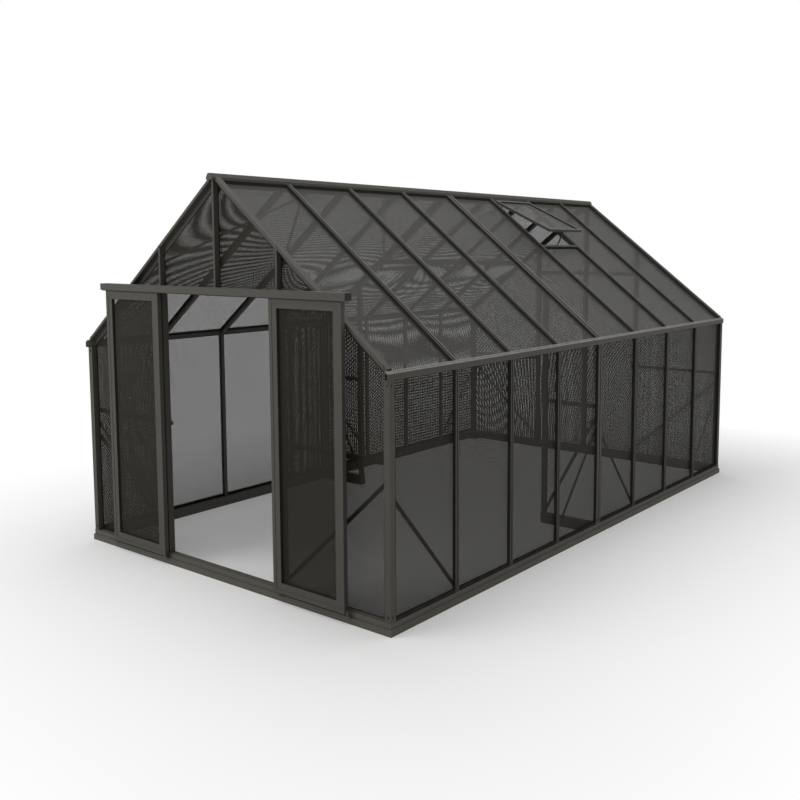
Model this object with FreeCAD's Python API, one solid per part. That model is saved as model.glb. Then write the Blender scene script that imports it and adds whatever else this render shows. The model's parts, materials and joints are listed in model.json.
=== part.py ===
"""Shade house: a gable-roofed aluminium frame clad with stretched mesh.

Millimetres. X runs across the house, Y from the front gable to the back one, Z is up. The pieces are
drawn with Y = 0 at the front face of the plinth, and moved at the end so that the origin lies under the
middle of the whole house.
"""
import FreeCAD, Part
import math
import os
from FreeCAD import Vector

# Overall size
LENGTH = 5000.0
WIDTH = 3000.0
EAVE_HEIGHT = 1538.0
ROOF_PITCH = 38.0
BAYS = 8

# Plinth rails, hollow with a step along the outside
BASE_HEIGHT = 77.0
BASE_WIDTH = 60.0
BASE_STEP_HEIGHT = 42.0
BASE_STEP_IN = 8.0
BASE_WALL = 2.5

# Posts and studs
WALL_INSET = 10.0
POST_DEPTH = 45.0
CORNER_POST = 45.0
STUD_WIDTH = 35.0
STUD_DEPTH = 24.0
JAMB_WIDTH = 40.0
KING_STUD_WIDTH = 16.0
POST_WALL = 2.0

# Eave beams
EAVE_BEAM_PROUD = 2.0
EAVE_BEAM_WIDTH = 20.0
EAVE_BEAM_DEPTH = 53.0
EAVE_FLANGE = 2.0
EAVE_OVERHANG = 10.0
EAVE_WALL = 2.5

# Roof bars
RAFTER_WIDTH = 35.0
RAFTER_DEPTH = 40.0
RAFTER_WALL = 2.0
GABLE_RAFTER_PROUD = 9.0
GABLE_LIP_DEPTH = 9.0
GABLE_RAFTER_DEPTH = 45.0
GABLE_RAFTER_WALL = 2.5
GABLE_FLANGE = 5.0
RIDGE_HALF_WIDTH = 29.0
RIDGE_FLAT_HALF = 12.0
RIDGE_SIDE_PROUD = 12.0
RIDGE_TOP_PROUD = 37.0
RIDGE_DROP = 57.0
RIDGE_END_DROP = 6.0
RIDGE_WALL = 3.0
RIDGE_OVERHANG = 15.0
RIDGE_CAP = 3.0

# Rails and flat braces
HEADER_HEIGHT = 40.0
HEADER_RISE = 2.0
MID_RAIL_Z = 1000.0
RAIL_HEIGHT = 30.0
RAIL_DEPTH = 20.0
BRACE_WIDTH = 25.0
BRACE_THICK = 4.0
WALL_BRACE_TOP = 830.0
GABLE_BRACE_TOP = 920.0
BRACE_FOOT = 118.0
ROOF_BRACE_LOW_X = 690.0
# Each roof brace runs from a bay line low on the slope to a place along the ridge, counted in bays
ROOF_BRACE_BAYS = ((0, 1.41), (2, 1.32), (4, 2.75), (4, 5.54))

# Middle frame
INNER_POST_X = 1000.0
INNER_POST_WIDTH = 35.0
STUB_SILL_WIDTH = 60.0
COLLAR_TIE_RISE = 557.0
COLLAR_TIE_HEIGHT = 40.0

# Mesh
MESH_THICK = 2.0
MESH_INSET = 16.0
WALL_MESH_INSET = 19.0
GABLE_MESH_INSET = 40.0
MESH_CLEARANCE = 0.3

# Sliding doors, drawn standing open; the jambs stand at a share of the way to the corner posts
DOORWAY_SHARE = 0.3973
DOOR_HEIGHT = 1850.0
DOOR_BASE_LAP = 9.0
DOOR_TRACK_GAP = 5.0
DOOR_MEETING_GAP = 1.5
DOOR_JAMB_LAP = 8.5
DOOR_OPEN_LAP = 6.0
DOOR_THICK = 30.0
DOOR_FACE_GAP = 15.0
DOOR_STILE = 68.0
DOOR_TOP_RAIL = 57.0
DOOR_BOTTOM_RAIL = 70.0
DOOR_BORDER = 26.0
DOOR_BORDER_STEP = 2.5
DOOR_WALL = 2.5
DOOR_GROOVE_WIDTH = 8.0
DOOR_GROOVE_DEPTH = 14.0

# Door track, rollers and guides
TRACK_PAST_DOOR = 43.0
TRACK_HEIGHT = 47.0
TRACK_DEPTH = 60.0
TRACK_WALL = 3.0
TRACK_SLOT = 14.0
TRACK_CAP = 15.0
ROLLER_RADIUS = 13.0
ROLLER_WIDTH = 12.0
ROLLER_GAP = 0.3
ROLLER_INSET = 90.0
AXLE_RADIUS = 4.0
AXLE_COLLAR_RADIUS = 6.0
AXLE_HEAD = 3.0
PIN_CLEARANCE = 0.05
HANGER_PLATE = 4.0
HANGER_WIDTH = 24.0
HANGER_FOOT = 50.0
HANGER_FOOT_THICK = 3.0
GUIDE_PLATE = 3.0
GUIDE_ARM = 4.0
GUIDE_FIN = 6.0
GUIDE_ENGAGE = 10.0
GUIDE_UNDER_DOOR = 12.0
GUIDE_FOOT_Z = 28.0
GUIDE_WIDTH = 40.0
STOP_GAP = 4.0
STOP_WIDTH = 15.0
STOP_RISE = 20.0
STOP_THICK = 10.0

# Roof vent on the +X slope, drawn open by its angle
VENT_BAY = 5
VENT_ANGLE = 13.0
VENT_HINGE_U = 68.0
VENT_HINGE_DEPTH = 8.0
VENT_EYE_RADIUS = 8.0
VENT_EYE_LENGTH = 40.0
VENT_EYE_FROM_END = 60.0
VENT_ROD_RADIUS = 4.0
VENT_TOP_GAP = 12.0
VENT_END_U = 715.0
VENT_SIDE_GAP = 9.0
VENT_BAR = 28.0
VENT_THICK = 22.0
VENT_PROUD = 4.0
VENT_SILL_GAP = 7.0
VENT_SILL_WIDTH = 28.0
VENT_SILL_DEPTH = 24.0
VENT_SILL_SINK = 2.0

# Vent stay, a flat bar on a pin under the vent's lower bar
STAY_PIVOT_DEPTH = 30.0
STAY_PIVOT_FROM_END = 22.0
STAY_LUG_THICK = 5.0
STAY_LUG_WIDTH = 16.0
STAY_PIN_RADIUS = 3.0
STAY_HEAD_RADIUS = 5.0
STAY_HEAD = 3.0
STAY_SIDE_GAP = 0.3
STAY_WIDTH = 12.0
STAY_THICK = 4.0
STAY_LENGTH = 320.0
STAY_LEAN = 25.3
STAY_HOLES = 6
STAY_HOLE_RADIUS = 3.2
STAY_HOLE_PITCH = 42.0

# Anchors and bolt heads
ANCHOR_WIDTH = 90.0
ANCHOR_THICK = 5.0
ANCHOR_UPSTAND = 60.0
ANCHOR_HOLE_RADIUS = 6.0
BOLT_FLATS = 13.0
BOLT_HEAD = 5.0
BOLT_FROM_END = 30.0

# Worked out from the sizes above
TAN = math.tan(math.radians(ROOF_PITCH))
SIN = math.sin(math.radians(ROOF_PITCH))
COS = math.cos(math.radians(ROOF_PITCH))
HALF = WIDTH / 2
WALL_OUT = HALF - WALL_INSET
WALL_IN = WALL_OUT - STUD_DEPTH
EAVE_OUT = WALL_OUT + EAVE_BEAM_PROUD
EAVE_IN = EAVE_OUT - EAVE_BEAM_WIDTH
EAVE_BEAM_BOTTOM = EAVE_HEIGHT - EAVE_BEAM_DEPTH
APEX = EAVE_HEIGHT + EAVE_IN * TAN
RIDGE_SIDE_Z = APEX - RIDGE_HALF_WIDTH * TAN
RIDGE_BOTTOM = RIDGE_SIDE_Z - RIDGE_DROP
RIDGE_END_Z = RIDGE_SIDE_Z - RIDGE_END_DROP
FRONT_OUT = WALL_INSET
FRONT_IN = FRONT_OUT + POST_DEPTH
BACK_OUT = LENGTH - WALL_INSET
BACK_IN = BACK_OUT - POST_DEPTH
FRONT_FLANGE = (FRONT_IN - GABLE_FLANGE, FRONT_IN)
BACK_FLANGE = (BACK_IN, BACK_IN + GABLE_FLANGE)
FIRST_STUD = FRONT_OUT + CORNER_POST / 2
BAY_PITCH = (LENGTH - 2 * FIRST_STUD) / BAYS
MIDDLE = BAYS // 2
CORNER_IN = WALL_OUT - CORNER_POST
JAMB_CENTRE = DOORWAY_SHARE * (CORNER_IN + WALL_OUT) / 2
JAMB_IN = JAMB_CENTRE - JAMB_WIDTH / 2
JAMB_OUT = JAMB_CENTRE + JAMB_WIDTH / 2
COLLAR_TIE_Z = EAVE_HEIGHT + COLLAR_TIE_RISE
DOOR_BOTTOM = BASE_HEIGHT - DOOR_BASE_LAP
DOOR_TOP = DOOR_BOTTOM + DOOR_HEIGHT
DOOR_OPEN_INNER = JAMB_IN - DOOR_OPEN_LAP
DOOR_WIDTH = JAMB_OUT + DOOR_JAMB_LAP - DOOR_MEETING_GAP
DOOR_BACK = FRONT_OUT - DOOR_FACE_GAP
DOOR_FRONT = DOOR_BACK - DOOR_THICK
DOOR_MID = (DOOR_BACK + DOOR_FRONT) / 2
DOOR_OPEN_OUTER = DOOR_OPEN_INNER + DOOR_WIDTH
TRACK_HALF_LENGTH = DOOR_OPEN_OUTER + TRACK_PAST_DOOR
TRACK_BOTTOM = DOOR_TOP + DOOR_TRACK_GAP
TRACK_FRONT = FRONT_OUT - TRACK_DEPTH
TRACK_TOP = TRACK_BOTTOM + TRACK_HEIGHT
TRACK_LIP = TRACK_BOTTOM + TRACK_WALL
HEADER_BOTTOM = TRACK_BOTTOM + HEADER_RISE
HEADER_TOP = HEADER_BOTTOM + HEADER_HEIGHT
ROLLER_Z = TRACK_LIP + ROLLER_GAP + ROLLER_RADIUS
BACK_END = LENGTH + RIDGE_OVERHANG
Y_MIDDLE = (BACK_END + TRACK_FRONT) / 2


def stud_y(index):
    """Centre line of a stud or rafter, counted from the front corner post."""
    return FIRST_STUD + index * BAY_PITCH


def half_width(index, width):
    """Half the width at a bay line; the middle one is a bolted pair."""
    return width if index == MIDDLE else width / 2


def bay_edges(bay, width, front, back):
    """Clear edges of a bay between two bars of the given width, with the end bars' own faces."""
    start = front if bay == 0 else stud_y(bay) + half_width(bay, width)
    end = back if bay == BAYS - 1 else stud_y(bay + 1) - half_width(bay + 1, width)
    return start, end


def bar_lines():
    """Centre lines of the single bars and of the bolted pair between the two gables."""
    lines = []
    for index in range(1, BAYS):
        if index == MIDDLE:
            lines += [stud_y(index) - STUD_WIDTH / 2, stud_y(index) + STUD_WIDTH / 2]
        else:
            lines.append(stud_y(index))
    return lines


def roof_z(x, depth=0.0):
    """Height of the plane that lies a depth below the top of the rafters."""
    return APEX - abs(x) * TAN - depth / COS


def roof_x(z, depth=0.0):
    """Distance from the middle at which that plane reaches a height."""
    return (APEX - depth / COS - z) / TAN


def slope(u, h=0.0):
    """Point of the +X slope, u down from the apex and h above the top of the rafters."""
    return u * COS + h * SIN, APEX - u * SIN + h * COS


def block(x0, x1, y0, y1, z0, z1):
    return Part.makeBox(x1 - x0, y1 - y0, z1 - z0, Vector(x0, y0, z0))


def prism(corners, direction):
    wire = Part.makePolygon(corners + corners[:1])
    return Part.Face(wire).extrude(direction)


def prism_xz(points, y0, y1):
    return prism([Vector(x, y0, z) for x, z in points], Vector(0, y1 - y0, 0))


def prism_yz(points, x0, x1):
    return prism([Vector(x0, y, z) for y, z in points], Vector(x1 - x0, 0, 0))


def slope_prism(u0, u1, h0, h1, y0, y1):
    return prism_xz([slope(u0, h0), slope(u1, h0), slope(u1, h1), slope(u0, h1)], y0, y1)


def rod(radius, x, z, y0, y1):
    return Part.makeCylinder(radius, y1 - y0, Vector(x, y0, z), Vector(0, 1, 0))


def mirrored(shape):
    return shape.mirror(Vector(0, 0, 0), Vector(1, 0, 0))


def both_sides(shapes):
    return shapes + [mirrored(shape) for shape in shapes]


def post(x0, x1, y0, y1, z0, z1):
    """Upright rectangular tube."""
    w = POST_WALL
    return block(x0, x1, y0, y1, z0, z1).cut(block(x0 + w, x1 - w, y0 + w, y1 - w, z0 - 1, z1 + 1))


def under_roof(shape, depth, y0=None, y1=None):
    """Cuts away what stands above the plane a depth below the roof, all along or between two places."""
    box = shape.BoundBox
    y0 = box.YMin - 1 if y0 is None else y0
    y1 = box.YMax + 1 if y1 is None else y1
    top = max(box.ZMax, APEX) + 1
    reach = max(abs(box.XMin), abs(box.XMax)) + 1
    over = [(-reach, roof_z(reach, depth)), (0, roof_z(0, depth)), (reach, roof_z(reach, depth)),
            (reach, top), (-reach, top)]
    return shape.cut(prism_xz(over, y0, y1))


def band(start, end, width):
    """Outline of a flat bar between two points, with ends cut upright."""
    run = end[0] - start[0]
    rise = end[1] - start[1]
    half = width / 2 * math.hypot(run, rise) / abs(run)
    return [(start[0], start[1] - half), (end[0], end[1] - half), (end[0], end[1] + half), (start[0], start[1] + half)]


def bolt_head(x, y, z, direction):
    """Hexagon head standing on a face that looks along direction, which lies in the XY plane."""
    radius = BOLT_FLATS / math.sqrt(3)
    across = Vector(-direction.y, direction.x, 0)
    corners = []
    for k in range(6):
        turn = math.radians(60 * k)
        corners.append(Vector(x, y, z) + across * (radius * math.cos(turn)) + Vector(0, 0, radius * math.sin(turn)))
    return prism(corners, direction * BOLT_HEAD)


# Plinth

def base_rail(length):
    """Mitred rail along X with its outer face at Y = 0, hollow inside."""
    w = BASE_WALL
    outer = [(0, 0), (BASE_WIDTH, 0), (BASE_WIDTH, BASE_HEIGHT), (BASE_STEP_IN, BASE_HEIGHT),
             (BASE_STEP_IN, BASE_STEP_HEIGHT), (0, BASE_STEP_HEIGHT)]
    inner = [(w, w), (BASE_WIDTH - w, w), (BASE_WIDTH - w, BASE_HEIGHT - w), (BASE_STEP_IN + w, BASE_HEIGHT - w),
             (BASE_STEP_IN + w, BASE_STEP_HEIGHT - w), (w, BASE_STEP_HEIGHT - w)]

    rail = prism_yz(outer, -length / 2, length / 2).cut(prism_yz(inner, -length / 2 - 1, length / 2 + 1))
    end, far = length / 2, BASE_WIDTH
    mitre = [Vector(end + 1, -1, -1), Vector(end - far - 1, far + 1, -1), Vector(end + 1, far + 1, -1)]
    corner = prism(mitre, Vector(0, 0, BASE_HEIGHT + 2))
    return rail.cut([corner, mirrored(corner)])


def plinth():
    parts = {}
    parts["base_front"] = [base_rail(WIDTH)]
    back = base_rail(WIDTH)
    back.rotate(Vector(0, 0, 0), Vector(0, 0, 1), 180)
    back.translate(Vector(0, LENGTH, 0))
    parts["base_back"] = [back]
    right = base_rail(LENGTH)
    right.rotate(Vector(0, 0, 0), Vector(0, 0, 1), 90)
    right.translate(Vector(HALF, LENGTH / 2, 0))
    parts["base_right"] = [right]
    parts["base_left"] = [mirrored(right)]
    return parts


def anchor_brackets():
    """Foot plates in the plinth's inner corners, each with two upstands and a bolt hole."""
    inner = HALF - BASE_WIDTH
    brackets = []
    for y, way in ((BASE_WIDTH, 1), (LENGTH - BASE_WIDTH, -1)):
        far = y + way * ANCHOR_WIDTH
        low, high = min(y, far), max(y, far)
        wall = y + way * ANCHOR_THICK
        plate = block(inner - ANCHOR_WIDTH, inner, low, high, 0, ANCHOR_THICK)
        plate = plate.fuse(block(inner - ANCHOR_THICK, inner, low, high, 0, ANCHOR_UPSTAND))
        plate = plate.fuse(block(inner - ANCHOR_WIDTH, inner, min(y, wall), max(y, wall), 0, ANCHOR_UPSTAND))
        hole = Part.makeCylinder(ANCHOR_HOLE_RADIUS, ANCHOR_THICK + 2,
                                 Vector(inner - ANCHOR_WIDTH / 2, y + way * ANCHOR_WIDTH / 2, -1))
        brackets.append(plate.removeSplitter().cut(hole))
    return both_sides(brackets)


# Walls

def corner_posts():
    posts = []
    for y0 in (FRONT_OUT, BACK_OUT - CORNER_POST):
        posts.append(post(CORNER_IN, WALL_OUT, y0, y0 + CORNER_POST, BASE_HEIGHT, EAVE_BEAM_BOTTOM))
    return both_sides(posts)


def wall_studs():
    studs = []
    for y in bar_lines():
        studs.append(post(WALL_IN, WALL_OUT, y - STUD_WIDTH / 2, y + STUD_WIDTH / 2, BASE_HEIGHT, EAVE_BEAM_BOTTOM))
    return studs


def wall_braces():
    """Flat bars on the inside of the studs, from a high point on a main post to a stud's foot.

    The end ones stop at the sides of the corner posts.
    """
    between = block(WALL_IN - BRACE_THICK, WALL_IN, FRONT_OUT + CORNER_POST, BACK_OUT - CORNER_POST, 0, EAVE_HEIGHT)
    runs = [(stud_y(0), stud_y(1)), (stud_y(MIDDLE) - STUD_WIDTH / 2, stud_y(MIDDLE - 1)),
            (stud_y(MIDDLE) + STUD_WIDTH / 2, stud_y(MIDDLE + 1)), (stud_y(BAYS), stud_y(BAYS - 1))]
    bars = []
    for high, low in runs:
        outline = band((high, WALL_BRACE_TOP), (low, BRACE_FOOT), BRACE_WIDTH)
        bars.append(prism_yz(outline, WALL_IN - BRACE_THICK, WALL_IN).common(between))
    return both_sides(bars)


def eave_beam():
    w = EAVE_WALL
    inner_foot = EAVE_BEAM_BOTTOM + EAVE_FLANGE
    outer = [(EAVE_OUT, EAVE_BEAM_BOTTOM), (EAVE_OUT, roof_z(EAVE_OUT)), (EAVE_IN, roof_z(EAVE_IN)),
             (EAVE_IN, inner_foot), (WALL_IN, inner_foot), (WALL_IN, EAVE_BEAM_BOTTOM)]
    hollow = [(EAVE_OUT - w, EAVE_BEAM_BOTTOM + w), (EAVE_OUT - w, roof_z(EAVE_OUT - w, w)),
              (EAVE_IN + w, roof_z(EAVE_IN + w, w)), (EAVE_IN + w, EAVE_BEAM_BOTTOM + w)]
    y0, y1 = -EAVE_OVERHANG, LENGTH + EAVE_OVERHANG
    return prism_xz(outer, y0, y1).cut(prism_xz(hollow, y0 - 1, y1 + 1))


# Roof

def ridge_outline(wall, bottom):
    side = RIDGE_HALF_WIDTH - wall
    flat = RIDGE_FLAT_HALF - wall * math.tan(math.radians(22.5))
    top = RIDGE_SIDE_Z + RIDGE_TOP_PROUD - wall
    shoulder = RIDGE_SIDE_Z + RIDGE_SIDE_PROUD - wall * math.tan(math.radians(22.5))
    return [(-side, bottom), (side, bottom), (side, shoulder), (flat, top), (-flat, top), (-side, shoulder)]


def ridge_beam():
    """Hollow beam, cut away below where it lies on the gable rafters."""
    y0, y1 = RIDGE_CAP - RIDGE_OVERHANG, BACK_END - RIDGE_CAP
    beam = prism_xz(ridge_outline(0, RIDGE_BOTTOM), y0, y1)
    beam = beam.cut(prism_xz(ridge_outline(RIDGE_WALL, RIDGE_BOTTOM + RIDGE_WALL), y0 - 1, y1 + 1))
    reach = RIDGE_HALF_WIDTH + 1
    notches = [block(-reach, reach, start, end, RIDGE_BOTTOM - 1, RIDGE_END_Z)
               for start, end in ((y0 - 1, FRONT_IN), (BACK_IN, y1 + 1))]
    return beam.cut(notches)


def ridge_end_caps():
    outline = ridge_outline(0, RIDGE_END_Z)
    return [prism_xz(outline, -RIDGE_OVERHANG, RIDGE_CAP - RIDGE_OVERHANG),
            prism_xz(outline, BACK_END - RIDGE_CAP, BACK_END)]


def bar_outline(x0, x1, top, bottom):
    """A bar that lies along the roof between two depths, with ends cut upright."""
    return [(x0, roof_z(x0, top)), (x1, roof_z(x1, top)), (x1, roof_z(x1, bottom)), (x0, roof_z(x0, bottom))]


def rafter(y):
    """Hollow bar from the ridge's side to the eave beam."""
    w = RAFTER_WALL
    outline = bar_outline(RIDGE_HALF_WIDTH, EAVE_IN, 0, RAFTER_DEPTH)
    outer = prism_xz(outline, y - RAFTER_WIDTH / 2, y + RAFTER_WIDTH / 2)
    hollow = prism_xz(bar_outline(RIDGE_HALF_WIDTH - 1, EAVE_IN + 1, w, RAFTER_DEPTH - w),
                      y - RAFTER_WIDTH / 2 + w, y + RAFTER_WIDTH / 2 - w)
    return outer.cut(hollow)


def gable_rafter(y0, y1, flange):
    """End bar from the eave beam to the ridge's side: a hollow lip, and below it a flange that carries the mesh.

    The flange runs on under the ridge to the middle, and rests on the eave beam's own flange.
    """
    w = GABLE_RAFTER_WALL
    top, bottom = -GABLE_RAFTER_PROUD, GABLE_LIP_DEPTH
    lip = prism_xz(bar_outline(RIDGE_HALF_WIDTH, EAVE_IN, top, bottom), y0, y1)
    hollow = prism_xz(bar_outline(RIDGE_HALF_WIDTH - 1, EAVE_IN + 1, top + w, bottom - w), y0 + w, y1 - w)
    foot = EAVE_BEAM_BOTTOM + EAVE_FLANGE
    plate = [(EAVE_IN, roof_z(EAVE_IN, bottom)), (EAVE_IN, foot), (roof_x(foot, GABLE_RAFTER_DEPTH), foot),
             (0, roof_z(0, GABLE_RAFTER_DEPTH)), (0, RIDGE_END_Z), (roof_x(RIDGE_END_Z, bottom), RIDGE_END_Z)]
    return lip.cut(hollow).fuse(prism_xz(plate, *flange)).removeSplitter()


def under_gable(stud, flange):
    """Cuts a stud to stand under the gable rafter's lip, its flange and the ridge."""
    box = stud.BoundBox
    above = block(box.XMin - 1, box.XMax + 1, box.YMin - 1, box.YMax + 1, RIDGE_END_Z, APEX + 1)
    return under_roof(under_roof(stud.cut(above), GABLE_LIP_DEPTH), GABLE_RAFTER_DEPTH, *flange)


def roof_braces():
    """Flat bars under the far slope's rafters, from low on a rafter up to the ridge's side."""
    drop = ROOF_BRACE_LOW_X - RIDGE_HALF_WIDTH
    bars = []
    for line, ridge_place in ROOF_BRACE_BAYS:
        high = stud_y(ridge_place)
        way = 1 if ridge_place > line else -1
        low = FRONT_IN if line == 0 else stud_y(line) + way * (half_width(line, RAFTER_WIDTH) / 2 + MESH_CLEARANCE)
        slant = math.hypot(drop, high - low)
        across = BRACE_WIDTH / 2 * slant / abs(high - low)
        along = way * BRACE_WIDTH / 2 * slant / drop
        outline = [(low, ROOF_BRACE_LOW_X - across), (low, ROOF_BRACE_LOW_X + across),
                   (high + along, RIDGE_HALF_WIDTH), (high - along, RIDGE_HALF_WIDTH)]
        corners = [Vector(-x, y, roof_z(x, RAFTER_DEPTH)) for y, x in outline]
        bars.append(prism(corners, Vector(0, 0, -BRACE_THICK / COS)))
    return bars


# Gables

def front_jambs():
    """Door jambs, closed at the header and slimmer above it."""
    half = KING_STUD_WIDTH / 2
    jamb = post(JAMB_IN, JAMB_OUT, FRONT_OUT, FRONT_IN, BASE_HEIGHT, HEADER_TOP)
    cap = block(JAMB_IN, JAMB_OUT, FRONT_OUT, FRONT_IN, HEADER_TOP - POST_WALL, HEADER_TOP)
    above = post(JAMB_CENTRE - half, JAMB_CENTRE + half, FRONT_OUT, FRONT_IN, HEADER_TOP, APEX)
    return both_sides([jamb.fuse([cap, under_gable(above, FRONT_FLANGE)]).removeSplitter()])


def king_stud(width, y0, y1, foot, flange):
    return under_gable(post(-width / 2, width / 2, y0, y1, foot, APEX), flange)


def back_studs():
    side = post(JAMB_CENTRE - STUD_WIDTH / 2, JAMB_CENTRE + STUD_WIDTH / 2, BACK_IN, BACK_OUT, BASE_HEIGHT, APEX)
    king = king_stud(STUD_WIDTH, BACK_IN, BACK_OUT, BASE_HEIGHT, BACK_FLANGE)
    return both_sides([under_gable(side, BACK_FLANGE)]) + [king]


def header_rails():
    """The front one lies between the jambs, the back one inside the studs."""
    w = POST_WALL
    front = block(-JAMB_IN, JAMB_IN, FRONT_OUT, FRONT_IN, HEADER_BOTTOM, HEADER_TOP)
    front = front.cut(block(-JAMB_IN - 1, JAMB_IN + 1, FRONT_OUT + w, FRONT_IN - w, HEADER_BOTTOM + w, HEADER_TOP - w))
    back = block(-JAMB_OUT, JAMB_OUT, BACK_IN - RAIL_DEPTH, BACK_IN, HEADER_BOTTOM, HEADER_TOP)
    return [front, back]


def gable_mid_rails():
    z0, z1 = MID_RAIL_Z - RAIL_HEIGHT / 2, MID_RAIL_Z + RAIL_HEIGHT / 2
    x1 = CORNER_IN + CORNER_POST / 2
    front = block(JAMB_IN, x1, FRONT_IN, FRONT_IN + RAIL_DEPTH, z0, z1)
    back = block(JAMB_IN, x1, BACK_IN - RAIL_DEPTH, BACK_IN, z0, z1)
    return both_sides([front, back])


def gable_braces():
    outline = band((CORNER_IN + CORNER_POST / 2, GABLE_BRACE_TOP), (JAMB_CENTRE, BRACE_FOOT), BRACE_WIDTH)
    return both_sides([prism_xz(outline, FRONT_IN, FRONT_IN + BRACE_THICK),
                       prism_xz(outline, BACK_IN - BRACE_THICK, BACK_IN)])


# Middle frame

def mid_frame():
    y = stud_y(MIDDLE)
    x0, x1 = INNER_POST_X - INNER_POST_WIDTH / 2, INNER_POST_X + INNER_POST_WIDTH / 2
    half = INNER_POST_WIDTH / 2
    w = BASE_WALL
    inner_post = under_roof(post(x0, x1, y - half, y + half, BASE_HEIGHT, APEX), RAFTER_DEPTH)
    s = STUB_SILL_WIDTH / 2
    sill = block(x0, HALF - BASE_WIDTH, y - s, y + s, 0, BASE_HEIGHT)
    sill = sill.cut(block(x0 + w, HALF - BASE_WIDTH + 1, y - s + w, y + s - w, w, BASE_HEIGHT - w))
    rail = block(x1, WALL_IN, y - RAIL_DEPTH / 2, y + RAIL_DEPTH / 2, MID_RAIL_Z - RAIL_HEIGHT / 2, MID_RAIL_Z + RAIL_HEIGHT / 2)
    brace_top = MID_RAIL_Z - RAIL_HEIGHT / 2 - 2 * BRACE_WIDTH
    brace = prism_xz(band((x1, BRACE_FOOT), (WALL_IN, brace_top), BRACE_WIDTH), y - BRACE_THICK / 2, y + BRACE_THICK / 2)
    low, high = COLLAR_TIE_Z - COLLAR_TIE_HEIGHT / 2, COLLAR_TIE_Z + COLLAR_TIE_HEIGHT / 2
    reach_low, reach_high = roof_x(low, RAFTER_DEPTH), roof_x(high, RAFTER_DEPTH)
    tie = prism_xz([(-reach_low, low), (reach_low, low), (reach_high, high), (-reach_high, high)],
                   y - RAFTER_WIDTH / 2, y + RAFTER_WIDTH / 2)
    return {
        "mid_frame_posts": both_sides([inner_post]),
        "mid_frame_sills": both_sides([sill]),
        "mid_frame_rails": both_sides([rail]),
        "mid_frame_braces": both_sides([brace]),
        "collar_tie": [tie],
    }


# Mesh sheets

def wall_mesh():
    c = MESH_CLEARANCE
    x1 = WALL_OUT - WALL_MESH_INSET
    sheets = []
    for bay in range(BAYS):
        y0, y1 = bay_edges(bay, STUD_WIDTH, FRONT_OUT + CORNER_POST, BACK_OUT - CORNER_POST)
        sheets.append(block(x1 - MESH_THICK, x1, y0 + c, y1 - c, BASE_HEIGHT + c, EAVE_BEAM_BOTTOM - c))
    return sheets


def roof_mesh(side):
    """One sheet in each bay of a slope, shorter below the vent."""
    c = MESH_CLEARANCE
    top, bottom = MESH_INSET, MESH_INSET + MESH_THICK
    x0, x1 = RIDGE_HALF_WIDTH + c, EAVE_IN - c
    below_sill = VENT_END_U + VENT_SILL_GAP + VENT_SILL_WIDTH + c
    sheets = []
    for bay in range(BAYS):
        y0, y1 = bay_edges(bay, RAFTER_WIDTH, FRONT_IN, BACK_IN)
        upper = [(x0, roof_z(x0, bottom)), (x0, roof_z(x0, top))]
        if side == 1 and bay == VENT_BAY:
            upper = [slope(below_sill, -bottom), slope(below_sill, -top)]
        outline = upper + [(x1, roof_z(x1, top)), (x1, roof_z(x1, bottom))]
        sheet = prism_xz(outline, y0 + c, y1 - c)
        sheets.append(sheet if side == 1 else mirrored(sheet))
    return sheets


def gable_mesh(y0, lower_half, upper_half, king_half, top_foot):
    """Two side sheets and two sheets beside the king stud, each up to the gable rafters.

    The side posts have half their width below and above the header given apart.
    """
    c = MESH_CLEARANCE
    under = GABLE_RAFTER_DEPTH + c
    x0, x1 = JAMB_CENTRE + lower_half + c, CORNER_IN - c
    upper = JAMB_CENTRE + upper_half + c
    side = [(x0, BASE_HEIGHT + c), (x1, BASE_HEIGHT + c), (x1, roof_z(x1, under)), (upper, roof_z(upper, under))]
    if upper < x0:
        side += [(upper, HEADER_TOP + c), (x0, HEADER_TOP + c)]
    k0, k1 = king_half + c, JAMB_CENTRE - upper_half - c
    middle = [(k0, top_foot + c), (k1, top_foot + c), (k1, roof_z(k1, under)), (k0, roof_z(k0, under))]
    return both_sides([prism_xz(side, y0, y0 + MESH_THICK), prism_xz(middle, y0, y0 + MESH_THICK)])


# Doors, drawn for +X and mirrored

def door_frame():
    """Four hollow bars with a raised border; the stiles are open at the top."""
    x0, x1 = DOOR_OPEN_INNER, DOOR_OPEN_OUTER
    frame = block(x0, x1, DOOR_FRONT, DOOR_BACK, DOOR_BOTTOM, DOOR_TOP)
    frame = frame.cut(block(x0 + DOOR_STILE, x1 - DOOR_STILE, DOOR_FRONT - 1, DOOR_BACK + 1,
                            DOOR_BOTTOM + DOOR_BOTTOM_RAIL, DOOR_TOP - DOOR_TOP_RAIL))
    b, s = DOOR_BORDER, DOOR_BORDER_STEP
    for y0, y1 in ((DOOR_FRONT - 1, DOOR_FRONT + s), (DOOR_BACK - s, DOOR_BACK + 1)):
        frame = frame.cut(block(x0 + b, x1 - b, y0, y1, DOOR_BOTTOM + b, DOOR_TOP - b))
    w = DOOR_WALL
    for start in (x0, x1 - DOOR_STILE):
        frame = frame.cut(block(start + w, start + DOOR_STILE - w, DOOR_FRONT + s + w, DOOR_BACK - s - w,
                                DOOR_BOTTOM + DOOR_BOTTOM_RAIL, DOOR_TOP + 1))
    half = DOOR_GROOVE_WIDTH / 2
    return frame.cut(block(x0 - 1, x1 + 1, DOOR_MID - half, DOOR_MID + half, DOOR_BOTTOM - 1, DOOR_BOTTOM + DOOR_GROOVE_DEPTH))


def door_mesh():
    c = MESH_CLEARANCE
    return block(DOOR_OPEN_INNER + DOOR_STILE + c, DOOR_OPEN_OUTER - DOOR_STILE - c,
                 DOOR_MID - MESH_THICK / 2, DOOR_MID + MESH_THICK / 2,
                 DOOR_BOTTOM + DOOR_BOTTOM_RAIL + c, DOOR_TOP - DOOR_TOP_RAIL - c)


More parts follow.
